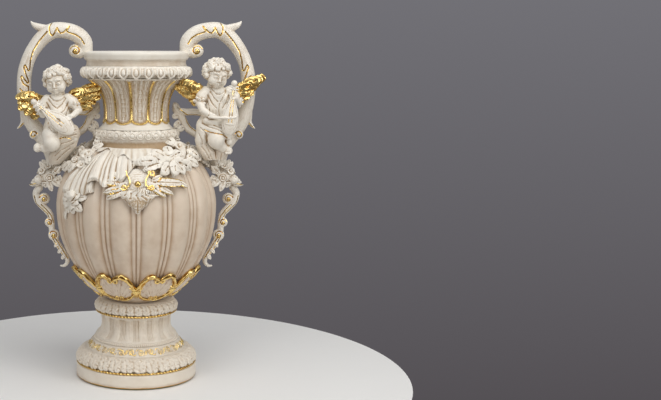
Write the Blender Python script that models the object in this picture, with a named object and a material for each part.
"""Two-handled presentation amphora with putti, in ivory ceramic with gilt mouldings.

Units are metres, +Z is up, and the origin is the centre of the face that the foot stands on.
The front is -Y, and the handles lie along X. Angles round the vessel are measured from the
front, positive towards +X. The castings stand on each other and are clamped by a tie rod; the
applied ornament is luted on, which leaves a fine joint line of GAP between neighbours.
"""

import math

import bmesh
import bpy
from mathutils import Matrix, Vector

# Driving dimensions
GAP = 0.0005  # joint line between two castings
RELIEF_LIFT = 0.0012  # applied relief stands this far off the crowns, on its bed of slip
WALL = 0.006  # thickness of the slip-cast walls
SEGMENTS = 32  # facets round a turned casting
BODY_SEGMENTS = 32  # facets round the body, two to a lobe
SMALL_SEGMENTS = 20  # facets round hardware

PLINTH_RADIUS = 0.1370
PLINTH_TOP = 0.0325
FELT_THICKNESS = 0.0020
TORUS_TOP = 0.0660
BEAD_RADIUS = 0.0950
BEAD_HEIGHT = 0.0880
STEM_RADIUS = 0.0770
STEM_TOP = 0.1490
COLLAR_RADIUS = 0.0935
COLLAR_TOP = 0.1780

BODY_RADIUS = 0.1810
BODY_WIDEST = 0.3950  # height of the widest ring
BODY_TOP = 0.5200
BODY_LOWER_REACH = 0.2320  # vertical semi-axis of the lower half's ellipse
BODY_UPPER_REACH = 0.1600  # and of the upper half's
FLOOR_RADIUS = 0.0450  # flat part of the floor inside
LOBES = 16
SEAM_DEPTH = 0.0045  # how far the seams lie behind the lobes' crowns

SHOULDER_RADIUS = 0.0955
SHOULDER_TOP = 0.5640
NECK_RADIUS = 0.0703
NECK_TOP = 0.6750
NECK_FLARE = 0.0400  # how far the neck opens out under the egg ring
SHOULDER_FLARE = 0.0140  # and over the shoulder ring
WAIST_LOW = 0.5850
WAIST_TOP = 0.6020
EGG_RING_RADIUS = 0.1238
EGG_RING_TOP = 0.7030
LIP_RADIUS = 0.1175
LIP_TOP = 0.7385
MOUTH_RADIUS = 0.0980

ROPE_THICKNESS = 0.0050
ROD_RADIUS = 0.0050
ROD_HOLE_RADIUS = 0.0060
NUT_RADIUS = 0.0098  # over the corners of the hexagon
NUT_BORE = ROD_RADIUS + GAP / 2  # over the corners of its hexagonal bore
NUT_HEIGHT = 0.0080
WASHER_RADIUS = 0.0200
WASHER_THICKNESS = 0.0025

PEARL_RADIUS = 0.0070
PEARL_LIFT = 0.0240  # of the pearl's centre off the body

CALYX_UNITS = 8
CALYX_LOW = 0.1900
CALYX_HIGH = 0.2560

FRONT = 0.0
BACK = math.pi

IVORY = ((0.83, 0.78, 0.68), 0.45, 0.0)
GOLD = ((0.83, 0.60, 0.20), 0.25, 1.0)
STEEL = ((0.60, 0.60, 0.62), 0.35, 1.0)
RUBBER = ((0.05, 0.05, 0.05), 0.80, 0.0)
FELT = ((0.16, 0.24, 0.16), 0.95, 0.0)


# Scene and materials

def clear_scene():
    for obj in list(bpy.data.objects):
        bpy.data.objects.remove(obj, do_unlink=True)


def finish(obj, look):
    """Gives the object its own Principled material."""
    colour, roughness, metallic = look
    material = bpy.data.materials.new(obj.name + "_finish")
    material.use_nodes = True
    shader = material.node_tree.nodes["Principled BSDF"]
    shader.inputs["Base Color"].default_value = (*colour, 1.0)
    shader.inputs["Roughness"].default_value = roughness
    shader.inputs["Metallic"].default_value = metallic
    obj.data.materials.append(material)


def object_from(bm, name, look):
    """Turns a bmesh into a named object that faces outwards and is shaded smooth."""
    bmesh.ops.recalc_face_normals(bm, faces=bm.faces)
    mesh = bpy.data.meshes.new(name)
    bm.to_mesh(mesh)
    bm.free()
    mesh.shade_smooth()
    mesh.set_sharp_from_angle(angle=math.radians(40))
    obj = bpy.data.objects.new(name, mesh)
    bpy.context.scene.collection.objects.link(obj)
    finish(obj, look)
    return obj


# Profiles: lists of (radius, height) points

def arc(centre, radius, start, end, steps):
    """Points along an arc in the profile plane, with angles in degrees from the outward direction."""
    angles = [math.radians(start + (end - start) * i / steps) for i in range(steps + 1)]
    return [(centre[0] + radius * math.cos(a), centre[1] + radius * math.sin(a)) for a in angles]


def body_radius(height):
    """The crown radius of the ovoid body at a height."""
    reach = BODY_UPPER_REACH if height > BODY_WIDEST else BODY_LOWER_REACH
    share = min(abs(height - BODY_WIDEST) / reach, 0.98)
    return BODY_RADIUS * math.sqrt(1 - share * share)


def lobed_radius(height, angle):
    """The body's outer surface, with its lobes fading out towards the foot and the shoulder."""
    low_fade = (height - CALYX_LOW) / 0.05
    high_fade = (BODY_TOP - height) / 0.04
    fade = max(0.0, min(1.0, low_fade, high_fade))
    seam = (1 - abs(math.sin(LOBES / 2 * angle))) ** 2
    return body_radius(height) - SEAM_DEPTH * seam * fade


def neck_radius(height):
    """The neck's outer surface: a waist that flares out to the shoulder below and the egg ring above."""
    up = (height - WAIST_TOP) / (NECK_TOP - WAIST_TOP)
    down = (WAIST_LOW - height) / (WAIST_LOW - SHOULDER_TOP)
    return NECK_RADIUS + NECK_FLARE * max(up, 0.0) ** 2.2 + SHOULDER_FLARE * max(down, 0.0) ** 2


def on_crowns(angle, height, lift):
    """A point that stands off the body by lift, over the surface that bridges the lobes' crowns."""
    radius = body_radius(height) + lift
    return Vector((radius * math.sin(angle), -radius * math.cos(angle), height))


# Shape builders

def turned(name, outline, look, segments=SEGMENTS, shape=None):
    """Spins a closed outline round the axis. shape(radius, height, angle) may reshape the result."""
    bm = bmesh.new()
    ring = [bm.verts.new((0, -radius, height)) for radius, height in outline]
    edges = [bm.edges.new((ring[i], ring[(i + 1) % len(ring)])) for i in range(len(ring))]
    bmesh.ops.spin(bm, geom=edges, cent=(0, 0, 0), axis=(0, 0, 1), dvec=(0, 0, 0),
                   angle=math.tau, steps=segments, use_merge=True)
    if shape:
        for vert in bm.verts:
            radius = math.hypot(vert.co.x, vert.co.y)
            angle = math.atan2(vert.co.x, -vert.co.y)
            radius = shape(radius, vert.co.z, angle)
            vert.co.x = radius * math.sin(angle)
            vert.co.y = -radius * math.cos(angle)
    return object_from(bm, name, look)


def rope_ring(name, radius, height):
    outline = arc((radius, height), ROPE_THICKNESS / 2, 0, 360, 5)[:-1]
    return turned(name, outline, GOLD)


def hexagon_nut(name, height):
    """A hexagon nut on the rod's axis, standing on the given height."""
    sides = 6
    bm = bmesh.new()
    loops = []
    for radius, level in ((NUT_RADIUS, height), (NUT_RADIUS, height + NUT_HEIGHT),
                          (NUT_BORE, height + NUT_HEIGHT), (NUT_BORE, height)):
        turns = [math.tau * i / sides for i in range(sides)]
        loops.append([bm.verts.new((radius * math.cos(a), radius * math.sin(a), level)) for a in turns])
    for a, b in zip(loops, loops[1:] + loops[:1]):
        for i in range(sides):
            j = (i + 1) % sides
            bm.faces.new((a[i], a[j], b[j], b[i]))
    return object_from(bm, name, STEEL)


def add_ball(bm, centre, semi_axes, turn=0.0, detail=10):
    """An ellipsoid, turned about the Y axis by turn degrees."""
    place = Matrix.Translation(centre) @ Matrix.Rotation(math.radians(turn), 4, "Y")
    place = place @ Matrix.Diagonal((*semi_axes, 1))
    bmesh.ops.create_uvsphere(bm, u_segments=detail + 2, v_segments=detail, radius=1, matrix=place)


def add_limb(bm, path, sides=10):
    """A round limb through points (x, y, z, radius), closed at both ends."""
    points = [Vector(p[:3]) for p in path]
    previous = None
    side = Vector((0, 1, 0))
    for i, (point, values) in enumerate(zip(points, path)):
        ahead = points[min(i + 1, len(points) - 1)] - points[max(i - 1, 0)]
        ahead.normalize()
        side = (side - ahead * side.dot(ahead)).normalized()
        other = ahead.cross(side)
        radius = values[3]
        ring = []
        for k in range(sides):
            a = math.tau * k / sides
            ring.append(bm.verts.new(point + radius * (math.cos(a) * side + math.sin(a) * other)))
        if previous:
            for k in range(sides):
                j = (k + 1) % sides
                bm.faces.new((previous[k], previous[j], ring[j], ring[k]))
        else:
            bm.faces.new(ring)
        previous = ring
    bm.faces.new(list(reversed(previous)))


def curve_path(points, steps=4):
    """Eases a path of (x, y, z, radius) points with a Catmull-Rom curve."""
    values = [Vector(p) for p in points]
    eased = []
    for i in range(len(values) - 1):
        before = values[max(i - 1, 0)]
        start, end = values[i], values[i + 1]
        after = values[min(i + 2, len(values) - 1)]
        for k in range(steps):
            t = k / steps
            eased.append(0.5 * (2 * start + (end - before) * t
                                + (2 * before - 5 * start + 4 * end - after) * t * t
                                + (3 * start - before - 3 * end + after) * t ** 3))
    return [tuple(v) for v in eased] + [tuple(values[-1])]


def modelled(name, look, add_shapes, voxel, keep):
    """One body modelled like clay: overlapping shapes are fused by a voxel remesh, then thinned out."""
    bm = bmesh.new()
    add_shapes(bm)
    obj = object_from(bm, name, look)
    fuse = obj.modifiers.new("fuse", "REMESH")
    fuse.mode = "VOXEL"
    fuse.voxel_size = voxel
    thin = obj.modifiers.new("thin", "DECIMATE")
    thin.ratio = keep
    return obj


def keep_clear(obj, *neighbours):
    """Cuts obj back from its neighbours, leaving the joint line between them."""
    graph = bpy.context.evaluated_depsgraph_get()
    for other in neighbours:
        mesh = bpy.data.meshes.new_from_object(other.evaluated_get(graph))
        offsets = [v.normal * GAP * 1.4 for v in mesh.vertices]
        for vert, offset in zip(mesh.vertices, offsets):
            vert.co += offset
        cutter = bpy.data.objects.new(f"clear_{obj.name}_{other.name}", mesh)
        bpy.context.scene.collection.objects.link(cutter)
        cutter.hide_render = True
        cutter.display_type = "WIRE"
        cut = obj.modifiers.new(f"clear_{other.name}", "BOOLEAN")
        cut.operation = "DIFFERENCE"
        cut.object = cutter
    bpy.context.view_layer.update()


def relief(name, look, centre, outline, height, rings=3, spokes=24):
    """Applied relief on the body: a domed pad that bridges the lobes from crown to crown.

    centre is (angle, height); outline(t) gives the edge's (sideways, upward) offset in metres for
    t from 0 to 1 round it; height(s, t) is the pad's thickness, s running from 0 at the centre to
    1 at the edge.
    """
    bm = bmesh.new()
    base_radius = body_radius(centre[1])

    def place(s, t, lift):
        across, up = outline(t)
        angle = centre[0] + s * across / base_radius
        return bm.verts.new(on_crowns(angle, centre[1] + s * up, RELIEF_LIFT + lift))

    layers = []
    for is_outer in (False, True):
        hub = place(0, 0, height(0, 0) if is_outer else 0)
        loops = []
        for i in range(1, rings + 1):
            s = i / rings
            loops.append([place(s, k / spokes, height(s, k / spokes) if is_outer else 0)
                          for k in range(spokes)])
        layers.append((hub, loops))
    for hub, loops in layers:
        for k in range(spokes):
            j = (k + 1) % spokes
            bm.faces.new((hub, loops[0][k], loops[0][j]))
            for a, b in zip(loops, loops[1:]):
                bm.faces.new((a[k], b[k], b[j], a[j]))
    inner_edge, outer_edge = layers[0][1][-1], layers[1][1][-1]
    for k in range(spokes):
        j = (k + 1) % spokes
        bm.faces.new((inner_edge[k], inner_edge[j], outer_edge[j], outer_edge[k]))
    return object_from(bm, name, look)


# Foot

def build_foot():
    """The plinth, the leaf torus, the fluted stem and the collar, with their rope mouldings."""
    felt_radius = PLINTH_RADIUS - 0.004
    place = Matrix.Translation((0, 0, FELT_THICKNESS / 2))
    bm = bmesh.new()
    bmesh.ops.create_cone(bm, cap_ends=True, segments=SEGMENTS, radius1=felt_radius, radius2=felt_radius,
                          depth=FELT_THICKNESS, matrix=place)
    object_from(bm, "felt_pad", FELT)

    low = FELT_THICKNESS + GAP
    inner = PLINTH_RADIUS - 3 * WALL
    turned("foot_plinth", [(inner, low), (PLINTH_RADIUS, low), (PLINTH_RADIUS, PLINTH_TOP),
                           (inner, PLINTH_TOP)], IVORY)
    rope_height = PLINTH_TOP + ROPE_THICKNESS / 2 + GAP
    rope_ring("foot_rope_band", PLINTH_RADIUS - ROPE_THICKNESS / 2, rope_height)

    torus_low = PLINTH_TOP + GAP
    seat = PLINTH_RADIUS - ROPE_THICKNESS - 2 * GAP
    outline = [(BEAD_RADIUS - 2 * WALL, torus_low), (seat, torus_low)]
    outline += [(seat, rope_height + ROPE_THICKNESS / 2 + GAP)]
    outline += arc((PLINTH_RADIUS - 0.0130, torus_low + 0.0160), 0.0140, -35, 75, 4)
    outline += [(BEAD_RADIUS + 0.018, TORUS_TOP), (BEAD_RADIUS - 2 * WALL, TORUS_TOP)]
    turned("foot_leaf_torus", outline, IVORY)

    stem_low = TORUS_TOP + GAP
    hollow = STEM_RADIUS - 2 * WALL
    outline = [(hollow, stem_low), (BEAD_RADIUS + 0.017, stem_low)]
    outline += [(BEAD_RADIUS + 0.004, BEAD_HEIGHT - 0.009)]
    outline += arc((BEAD_RADIUS - 0.003, BEAD_HEIGHT), 0.0035, -50, 80, 3)
    outline += [(BEAD_RADIUS - 0.004, 0.0915), (0.0845, 0.0985), (0.0800, 0.1060), (STEM_RADIUS, 0.1180)]
    outline += [(STEM_RADIUS + 0.001, 0.1370), (COLLAR_RADIUS - 0.008, STEM_TOP)]
    outline += [(ROD_HOLE_RADIUS, STEM_TOP), (ROD_HOLE_RADIUS, STEM_TOP - 2 * WALL)]
    outline += [(hollow, STEM_TOP - 2 * WALL)]
    turned("foot_stem", outline, IVORY)

    rope_radius = COLLAR_RADIUS - 0.0035
    rope_height = STEM_TOP + GAP + ROPE_THICKNESS / 2
    rope_ring("stem_rope_band", rope_radius, rope_height)

    collar_low = STEM_TOP + GAP
    seat = rope_radius - ROPE_THICKNESS / 2 - 2 * GAP
    outline = [(ROD_HOLE_RADIUS, collar_low), (seat, collar_low)]
    outline += [(seat, collar_low + ROPE_THICKNESS + GAP)]
    outline += arc((COLLAR_RADIUS - 0.0115, collar_low + 0.0155), 0.0115, -50, 85, 4)
    outline += [(ROD_HOLE_RADIUS, COLLAR_TOP)]
    turned("stem_collar", outline, IVORY)


# Vessel

def build_vessel():
    """The hollow body, the shoulder ring, the neck, the egg ring and the rolled lip."""
    floor = COLLAR_TOP + GAP
    levels = 9
    start = floor + WALL
    heights = [start + (BODY_TOP - start) * i / levels for i in range(levels + 1)]
    outline = [(ROD_HOLE_RADIUS, floor), (body_radius(floor), floor)]
    outline += [(body_radius(z), z) for z in heights]
    inner_heights = heights[1::2]
    outline += [(body_radius(BODY_TOP) - WALL, BODY_TOP)]
    outline += [(body_radius(z) - WALL - SEAM_DEPTH, z) for z in reversed(inner_heights[:-1])]
    outline += [(FLOOR_RADIUS, floor + 2 * WALL), (ROD_HOLE_RADIUS, floor + 2 * WALL)]

    def flute(radius, height, angle):
        on_skin = floor < height and abs(radius - body_radius(height)) < 1e-5
        return lobed_radius(height, angle) if on_skin else radius

    body = turned("body_shell", outline, IVORY, BODY_SEGMENTS, flute)

    base = BODY_TOP + GAP
    bore = NECK_RADIUS - WALL
    outline = [(bore, base), (SHOULDER_RADIUS + 0.006, base), (SHOULDER_RADIUS + 0.004, base + 0.006)]
    outline += arc((SHOULDER_RADIUS - 0.006, base + 0.017), 0.008, -50, 60, 3)
    outline += [(SHOULDER_RADIUS - 0.004, SHOULDER_TOP - 0.010), (SHOULDER_RADIUS - 0.006, SHOULDER_TOP)]
    outline += [(bore, SHOULDER_TOP)]
    turned("shoulder_ring", outline, IVORY)

    base = SHOULDER_TOP + GAP
    steps = 6
    heights = [base + (NECK_TOP - base) * i / steps for i in range(steps + 1)]
    outline = [(neck_radius(z), z) for z in heights]
    outline += [(neck_radius(z) - WALL, z) for z in reversed(heights)]
    turned("neck", outline, IVORY)

    base = NECK_TOP + GAP
    outline = [(MOUTH_RADIUS, base), (EGG_RING_RADIUS - 0.012, base)]
    outline += arc((EGG_RING_RADIUS - 0.0120, base + 0.0130), 0.0120, -60, 75, 4)
    outline += [(LIP_RADIUS - 0.006, EGG_RING_TOP), (MOUTH_RADIUS, EGG_RING_TOP)]
    turned("egg_ring", outline, IVORY)

    base = EGG_RING_TOP + GAP
    outline = [(MOUTH_RADIUS, base), (LIP_RADIUS - 0.006, base), (LIP_RADIUS - 0.0075, base + 0.008)]
    outline += arc((LIP_RADIUS - 0.0085, LIP_TOP - 0.0090), 0.0085, -45, 80, 4)
    outline += [(MOUTH_RADIUS + 0.004, LIP_TOP), (MOUTH_RADIUS, LIP_TOP - 0.004)]
    lip = turned("lip_ring", outline, IVORY)
    return body, lip


# Clamping hardware inside the foot and the body

def build_hardware():
    """A tie rod pulls the body down on the foot. Its upper end is sealed by a gasket."""
    stem_deck = STEM_TOP - 2 * WALL
    body_floor = COLLAR_TOP + GAP + 2 * WALL
    low_washer = stem_deck - GAP - WASHER_THICKNESS
    gasket = body_floor + GAP
    high_washer = gasket + WASHER_THICKNESS + GAP
    high_nut = high_washer + WASHER_THICKNESS + GAP
    low_nut = low_washer - GAP - NUT_HEIGHT
    rod_low = low_nut - 0.010
    rod_high = high_nut + NUT_HEIGHT + 0.008

    def disc(name, base, look, reach):
        bore = ROD_HOLE_RADIUS
        turned(name, [(bore, base), (reach, base), (reach, base + WASHER_THICKNESS),
                      (bore, base + WASHER_THICKNESS)], look, SMALL_SEGMENTS)

    disc("lower_washer", low_washer, STEEL, WASHER_RADIUS)
    disc("body_gasket", gasket, RUBBER, WASHER_RADIUS + 0.004)
    disc("upper_washer", high_washer, STEEL, WASHER_RADIUS)
    hexagon_nut("lower_nut", low_nut)
    hexagon_nut("upper_nut", high_nut)

    bm = bmesh.new()
    # The nuts' bores are hexagons, so the rod is kept inside their flats.
    rod_radius = ROD_RADIUS * math.cos(math.pi / 6)
    place = Matrix.Translation((0, 0, (rod_low + rod_high) / 2))
    bmesh.ops.create_cone(bm, cap_ends=True, segments=16, radius1=rod_radius, radius2=rod_radius,
                          depth=rod_high - rod_low, matrix=place)
    object_from(bm, "tie_rod", STEEL)


# Calyx: eight shell cartouches in gilt frames round the bottom of the body

def calyx_outline(unit, t):
    """A cartouche's edge as (angle, height): wide, with a dipped top and a point at either side."""
    half = math.pi / CALYX_UNITS
    turn = math.tau * t
    across = math.cos(turn)
    up = math.sin(turn)
    middle = (CALYX_LOW + CALYX_HIGH) / 2
    reach = (CALYX_HIGH - CALYX_LOW) / 2
    pinch = 1 - 0.35 * across ** 4
    angle = (2 * unit + 1) * half + half * 0.94 * across
    return angle, middle + reach * up * pinch - 0.004 * math.cos(2 * turn)


def build_calyx():
    shell_lift = 0.0040
    frame_radius = 0.0036
    frame_lift = shell_lift + frame_radius + 6 * GAP

    columns = BODY_SEGMENTS
    rows = 3
    bm = bmesh.new()
    layers = []
    for lift in (RELIEF_LIFT, shell_lift):
        grid = []
        for row in range(rows + 1):
            line = []
            for column in range(columns):
                angle = math.tau * column / columns
                notch = abs(math.cos(CALYX_UNITS / 2 * angle)) ** 4
                top = CALYX_HIGH - 0.006 - 0.014 * notch
                height = CALYX_LOW + (top - CALYX_LOW) * row / rows
                line.append(bm.verts.new(on_crowns(angle, height, lift)))
            grid.append(line)
        layers.append(grid)
    inner, outer = layers
    for column in range(columns):
        following = (column + 1) % columns
        for grid in layers:
            for row in range(rows):
                bm.faces.new((grid[row][column], grid[row][following],
                              grid[row + 1][following], grid[row + 1][column]))
        for row in (0, rows):
            bm.faces.new((inner[row][column], inner[row][following],
                          outer[row][following], outer[row][column]))
    object_from(bm, "calyx_shells", IVORY)

    def add_frames(bm):
        steps = 24
        for unit in range(CALYX_UNITS):
            loop = []
            for k in range(steps + 1):
                angle, height = calyx_outline(unit, k / steps)
                point = on_crowns(angle, height, frame_lift)
                loop.append((*point, frame_radius))
            add_limb(bm, loop, 6)
            joint_angle = math.tau * unit / CALYX_UNITS
            middle = (CALYX_LOW + CALYX_HIGH) / 2 - 0.004
            joint = on_crowns(joint_angle, middle, frame_lift)
            add_ball(bm, joint, (frame_radius * 1.25,) * 3)

    modelled("calyx_gilt_frame", GOLD, add_frames, 0.0018, 0.022)


# Handles, brackets and figures. side is -1 for the left (-X) and 1 for the right (+X).

def sided(side, path):
    """Mirrors a path that is written for the right-hand side."""
    return [(side * p[0], *p[1:]) for p in path]


HANDLE_PATH = [
    (0.1190, 0, 0.7480, 0.0110), (0.1220, 0, 0.7640, 0.0135), (0.1370, 0, 0.7770, 0.0155),
    (0.1570, 0, 0.7820, 0.0165), (0.1800, 0, 0.7800, 0.0170), (0.2040, 0, 0.7700, 0.0170),
    (0.2270, 0, 0.7470, 0.0168), (0.2420, 0, 0.7170, 0.0165), (0.2485, 0, 0.6850, 0.0160),
    (0.2495, 0, 0.6500, 0.0155), (0.2450, 0, 0.6100, 0.0155), (0.2330, 0, 0.5760, 0.0165),
    (0.2120, 0, 0.5480, 0.0180), (0.1950, 0, 0.5250, 0.0190), (0.1860, 0, 0.5000, 0.0180),
    (0.1880, 0, 0.4750, 0.0150), (0.1950, 0, 0.4560, 0.0110),
]
HANDLE_THORN = [(0.2000, 0, 0.7740, 0.0120), (0.2150, 0, 0.7830, 0.0080), (0.2300, 0, 0.7980, 0.0020)]
HANDLE_LEAF = [(0.2440, 0, 0.6050, 0.0120), (0.2510, 0, 0.5830, 0.0085), (0.2650, 0, 0.5660, 0.0030)]
HANDLE_VOLUTE = (0.1345, 0, 0.7370)
VOLUTE_RADIUS = 0.0125

BRACKET_PATH = [
    (0.2180, 0, 0.4300, 0.0080), (0.2230, 0, 0.4130, 0.0090), (0.2120, 0, 0.3880, 0.0090),
    (0.1970, 0, 0.3680, 0.0085), (0.1930, 0, 0.3480, 0.0080), (0.1920, 0, 0.3300, 0.0080),
    (0.1850, 0, 0.3080, 0.0075), (0.1740, 0, 0.2860, 0.0070), (0.1650, 0, 0.2660, 0.0060),
    (0.1690, 0, 0.2530, 0.0040),
]
BRACKET_VOLUTES = [((0.2120, 0, 0.4090), 0.0110), ((0.1985, 0, 0.3510), 0.0105),
                   ((0.1945, 0, 0.3290), 0.0110)]

NECK_SCROLL_PATH = [
    (0.0840, 0, 0.6180, 0.0070), (0.0880, 0, 0.6030, 0.0095), (0.1080, 0, 0.5990, 0.0090),
    (0.1320, 0, 0.5990, 0.0085), (0.1550, 0, 0.5960, 0.0080), (0.1720, 0, 0.5860, 0.0080),
]
NECK_SCROLL_LEG = [
    (0.0880, 0, 0.6000, 0.0080), (0.0990, 0, 0.5820, 0.0085), (0.1140, 0, 0.5620, 0.0085),
    (0.1380, 0, 0.5480, 0.0080), (0.1620, 0, 0.5400, 0.0080),
]


def build_handle(side, word, body, lip):
    """The C-scroll arm from the lip, round the figure and down to the shoulder of the body."""
    def add_shapes(bm):
        add_limb(bm, curve_path(sided(side, HANDLE_PATH)))
        add_limb(bm, curve_path(sided(side, HANDLE_THORN)))
        add_limb(bm, curve_path(sided(side, HANDLE_LEAF)))
        x, y, z = HANDLE_VOLUTE
        add_ball(bm, (side * x, y, z), (VOLUTE_RADIUS, 0.0120, VOLUTE_RADIUS))
        add_ball(bm, (side * 0.1230, 0, 0.7380), (0.0100, 0.0110, 0.0130))
        add_ball(bm, (side * 0.1760, 0, 0.4800), (0.0180, 0.0200, 0.0200))

    handle = modelled(f"handle_{word}", IVORY, add_shapes, 0.0040, 0.05)
    keep_clear(handle, body, lip)
    return handle


def build_neck_scroll(side, word, handle):
    """The leafy strut that ties the neck to the handle behind the figure."""
    def add_shapes(bm):
        add_limb(bm, curve_path(sided(side, NECK_SCROLL_PATH)))
        add_limb(bm, curve_path(sided(side, NECK_SCROLL_LEG)))

    scroll = modelled(f"neck_scroll_{word}", IVORY, add_shapes, 0.0030, 0.08)
    keep_clear(scroll, handle, bpy.data.objects["neck"], bpy.data.objects["shoulder_ring"])
    return scroll


def build_bracket(side, word, body):
    """The slender S-scroll below the handle."""
    def add_shapes(bm):
        add_limb(bm, curve_path(sided(side, BRACKET_PATH)))
        for (x, y, z), radius in BRACKET_VOLUTES:
            add_ball(bm, (side * x, y, z), (radius, 0.0080, radius))

    bracket = modelled(f"bracket_{word}", IVORY, add_shapes, 0.0030, 0.08)
    keep_clear(bracket, body)
    return bracket


# Figures: a seated putto on each handle, with a lute and a pair of wings.
# Sizes are local to the seat: out is away from the vessel's axis, back is +Y, up is +Z.

SEATS = {"left": (0.1770, -0.0360, 0.5580), "right": (0.1790, -0.0360, 0.5720)}
HEAD = (0.0010, -0.0050, 0.1190)
HEAD_SIZE = (0.0290, 0.0290, 0.0320)
TRUNK = [
    ((0, 0, 0.0040), (0.0280, 0.0230, 0.0220)),
    ((0, -0.0020, 0.0280), (0.0250, 0.0210, 0.0260)),
    ((0, 0, 0.0580), (0.0280, 0.0190, 0.0260)),
]
THROAT = [(0, 0, 0.0700, 0.0130), (0, -0.0030, 0.0900, 0.0105)]
OUTER_LEG = [(0.0100, -0.0040, 0, 0.0160), (0.0220, -0.0280, -0.0160, 0.0140),
             (0.0360, -0.0200, -0.0360, 0.0100), (0.0480, -0.0200, -0.0440, 0.0070)]
INNER_LEG = [(-0.0120, -0.0060, -0.0020, 0.0160), (-0.0180, -0.0300, -0.0180, 0.0135),
             (-0.0100, -0.0260, -0.0400, 0.0100), (-0.0040, -0.0320, -0.0560, 0.0070)]
ARMS = {
    "left": ([(0.0260, 0, 0.0740, 0.0110), (0.0430, -0.0100, 0.0500, 0.0090),
              (0.0500, -0.0270, 0.0560, 0.0070)],
             [(-0.0260, 0, 0.0740, 0.0110), (-0.0430, -0.0140, 0.0500, 0.0090),
              (-0.0270, -0.0280, 0.0400, 0.0070)]),
    "right": ([(0.0260, 0, 0.0740, 0.0110), (0.0470, -0.0100, 0.0520, 0.0090),
               (0.0430, -0.0270, 0.0620, 0.0070)],
              [(-0.0260, 0, 0.0740, 0.0110), (-0.0400, -0.0140, 0.0460, 0.0090),
               (-0.0080, -0.0280, 0.0360, 0.0070)]),
}
LUTES = {"left": ((-0.0240, -0.0450, 0.0210), (0.0560, -0.0420, 0.0640)),
         "right": ((0.0270, -0.0450, 0.0130), (0.0450, -0.0420, 0.0960))}
LUTE_BOWL = (0.0270, 0.0110, 0.0200)
WING_ROOTS = {"outer": (0.0180, 0.0210, 0.0620), "inner": (-0.0180, 0.0210, 0.0620)}
WING_TIPS = {
    ("left", "outer"): [(0.0870, 0.0120, 0.0740), (0.0830, 0.0120, 0.0560), (0.0700, 0.0120, 0.0400),
                        (0.0480, 0.0120, 0.0300)],
    ("left", "inner"): [(-0.0930, -0.0140, 0.0980), (-0.0860, 0.0080, 0.0780), (-0.0740, 0.0120, 0.0580),
                        (-0.0560, 0.0120, 0.0480)],
    ("right", "outer"): [(0.1010, 0.0120, 0.1050), (0.0860, 0.0120, 0.0860), (0.0700, 0.0120, 0.0620),
                         (0.0560, 0.0120, 0.0480)],
    ("right", "inner"): [(-0.0840, -0.0200, 0.0930), (-0.0820, 0.0040, 0.0740), (-0.0700, 0.0120, 0.0540),
                         (-0.0500, 0.0120, 0.0420)],
}


def from_seat(side, word, point):
    """A point given from the figure's seat, in the vessel's frame. Extra values are kept."""
    seat = SEATS[word]
    return (side * (seat[0] + point[0]), seat[1] + point[1], seat[2] + point[2], *point[3:])


def build_figure(side, word, handle, scroll):
    """The putto's body and head, the lute in front and the gilt wings behind."""
    def path(points):
        return [from_seat(side, word, p) for p in points]

    bowl, peg = (from_seat(side, word, p) for p in LUTES[word])
    lean = -side * math.degrees(math.atan2(peg[2] - bowl[2], side * (peg[0] - bowl[0])))

    def add_lute(bm):
        add_ball(bm, bowl, LUTE_BOWL, lean)
        add_limb(bm, [(*bowl, 0.0060), (*peg, 0.0045)])
        add_ball(bm, peg, (0.0060, 0.0060, 0.0060))

    lute = modelled(f"lute_{word}", IVORY, add_lute, 0.0022, 0.05)

    def add_body(bm):
        for centre, size in TRUNK:
            add_ball(bm, from_seat(side, word, centre), size)
        for limb in (THROAT, OUTER_LEG, INNER_LEG, *ARMS[word]):
            add_limb(bm, path(limb))
        for limb in (OUTER_LEG, INNER_LEG, *ARMS[word]):
            for x, y, z, radius in path(limb):
                add_ball(bm, (x, y, z), (radius,) * 3)

    body = modelled(f"putto_body_{word}", IVORY, add_body, 0.0030, 0.05)
    keep_clear(body, handle, scroll, lute)

    bm = bmesh.new()
    add_ball(bm, from_seat(side, word, HEAD), HEAD_SIZE, detail=8)
    head = object_from(bm, f"putto_head_{word}", IVORY)
    keep_clear(head, body)

    for where in ("outer", "inner"):
        root = from_seat(side, word, WING_ROOTS[where])
        tips = path(WING_TIPS[word, where])

        def add_wing(bm):
            add_ball(bm, root, (0.0080, 0.0060, 0.0090))
            for tip in tips:
                middle = (Vector(root) * 0.45 + Vector(tip) * 0.55)
                add_limb(bm, [(*root, 0.0060), (*middle, 0.0090), (*tip, 0.0045)], 8)

        wing = modelled(f"wing_{word}_{where}", GOLD, add_wing, 0.0028, 0.08)
        keep_clear(wing, body, handle, scroll, head)
        if where == "inner":
            keep_clear(wing, bpy.data.objects["neck"])


# Applied flowers, drapery and cartouches

def build_flowers(name, blooms, neighbours, voxel=0.0040, keep=0.10):
    """A cluster of blooms, each (point, radius), fused and cut back from what it is luted to."""
    def add_blooms(bm):
        for point, radius in blooms:
            add_ball(bm, point, (radius,) * 3, detail=8)

    cluster = modelled(name, IVORY, add_blooms, voxel, keep)
    keep_clear(cluster, *neighbours)
    return cluster


def build_handle_flowers(side, word, body, handle, bracket):
    """The bouquet where the handle, the bracket and the body meet."""
    blooms = [((0.2150, -0.0080, 0.4580), 0.0190), ((0.2040, -0.0160, 0.4760), 0.0170),
              ((0.1880, -0.0260, 0.4640), 0.0180), ((0.2000, -0.0220, 0.4480), 0.0170),
              ((0.2280, -0.0060, 0.4450), 0.0140), ((0.1800, -0.0380, 0.4760), 0.0150),
              ((0.2060, 0.0140, 0.4640), 0.0170), ((0.1880, 0.0260, 0.4680), 0.0160)]
    placed = [((side * x, y, z), radius) for (x, y, z), radius in blooms]
    build_flowers(f"handle_flowers_{word}", placed, (body, handle, bracket), 0.0040, 0.06)


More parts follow.
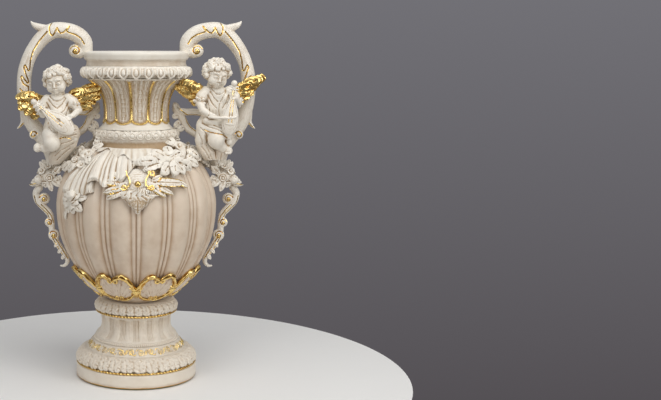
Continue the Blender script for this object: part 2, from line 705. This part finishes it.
def garland(start, end, count, radius):
    """Blooms evenly spaced over the body, from one (angle, height) to another."""
    blooms = []
    for i in range(count):
        share = i / (count - 1)
        angle = start[0] + (end[0] - start[0]) * share
        height = start[1] + (end[1] - start[1]) * share
        blooms.append((on_crowns(angle, height, radius * 0.3), radius))
    return blooms


def build_front_or_back(facing, word, body):
    """What one face of the vessel carries: two garlands, the drapery, its rose and the cartouche."""
    def at(degrees, height):
        return facing + math.radians(degrees), height

    def drape_edge(t):
        turn = math.tau * t
        across = math.cos(turn)
        up = math.sin(turn)
        return 0.0640 * across - 0.0150 * up * (1 - across) / 2, 0.0300 * up + 0.0160 * across

    def drape_height(s, t):
        return 0.0060 + 0.0015 * math.cos(5 * math.tau * t) * s

    drape = relief(f"drape_{word}", IVORY, at(-32, 0.4780), drape_edge, drape_height)

    def cartouche_edge(t):
        turn = math.tau * t
        point = max(-math.sin(turn), 0.0) ** 8
        return 0.0620 * math.cos(turn) * (1 - 0.35 * point), 0.0260 * math.sin(turn) - 0.0220 * point

    def cartouche_height(s, t):
        return 0.0120 * math.sqrt(max(1 - s * s, 0.0)) + 0.0040

    cartouche = relief(f"cartouche_{word}", IVORY, at(6, 0.4520), cartouche_edge, cartouche_height)
    keep_clear(cartouche, drape)

    bm = bmesh.new()
    add_ball(bm, on_crowns(*at(1, 0.4610), PEARL_LIFT), (PEARL_RADIUS,) * 3, detail=8)
    pearl = object_from(bm, f"gilt_pearl_{word}", GOLD)
    keep_clear(pearl, cartouche)

    neighbours = (body, bpy.data.objects["shoulder_ring"], drape, cartouche)
    left = garland(at(-78, 0.4900), at(-52, 0.5220), 4, 0.0125)
    right = garland(at(14, 0.4960), at(72, 0.5060), 7, 0.0125)
    build_flowers(f"garland_{word}_left", left, neighbours)
    build_flowers(f"garland_{word}_right", right, neighbours)

    rose = [(on_crowns(*at(-50, 0.4230), 0.0050), 0.0120), (on_crowns(*at(-53, 0.4090), 0.0040), 0.0080)]
    build_flowers(f"drape_rose_{word}", rose, (body, drape), 0.0030, 0.12)


def main():
    clear_scene()
    build_foot()
    body, lip = build_vessel()
    build_hardware()
    build_calyx()
    for facing, word in ((FRONT, "front"), (BACK, "back")):
        build_front_or_back(facing, word, body)
    for side, word in ((-1, "left"), (1, "right")):
        handle = build_handle(side, word, body, lip)
        scroll = build_neck_scroll(side, word, handle)
        bracket = build_bracket(side, word, body)
        build_handle_flowers(side, word, body, handle, bracket)
        build_figure(side, word, handle, scroll)


main()
